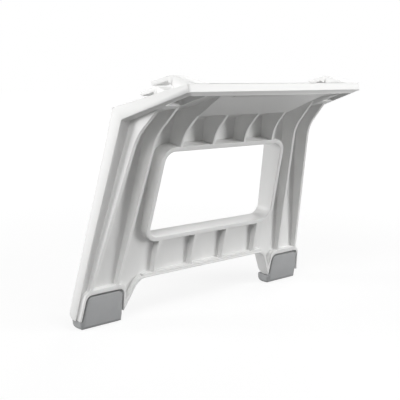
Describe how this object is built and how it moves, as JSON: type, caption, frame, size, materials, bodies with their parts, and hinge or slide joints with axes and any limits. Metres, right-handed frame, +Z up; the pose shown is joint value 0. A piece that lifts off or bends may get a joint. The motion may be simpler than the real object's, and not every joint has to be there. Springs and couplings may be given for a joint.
{
  "type": "desk phone stand",
  "caption": "L-shaped moulded stand that hooks under the back of a desk phone and stands on rubber feet; ribbed leg with a window.",
  "frame": {"origin": "middle of the plate's outer face, which lies against the underside of the phone", "axes": "+Z up as used on the desk, +X across the stand, +Y towards the front of the phone; the plate rises towards -Y"},
  "size_m": [0.1598, 0.0648, 0.1206],
  "materials": {
    "white_plastic": "fine matte texture, as moulded",
    "grey_rubber": "matte"
  },
  "bodies": {
    "root": {"stand": "white_plastic", "foot_left": "grey_rubber", "foot_right": "grey_rubber"}
  },
  "joints": []
}
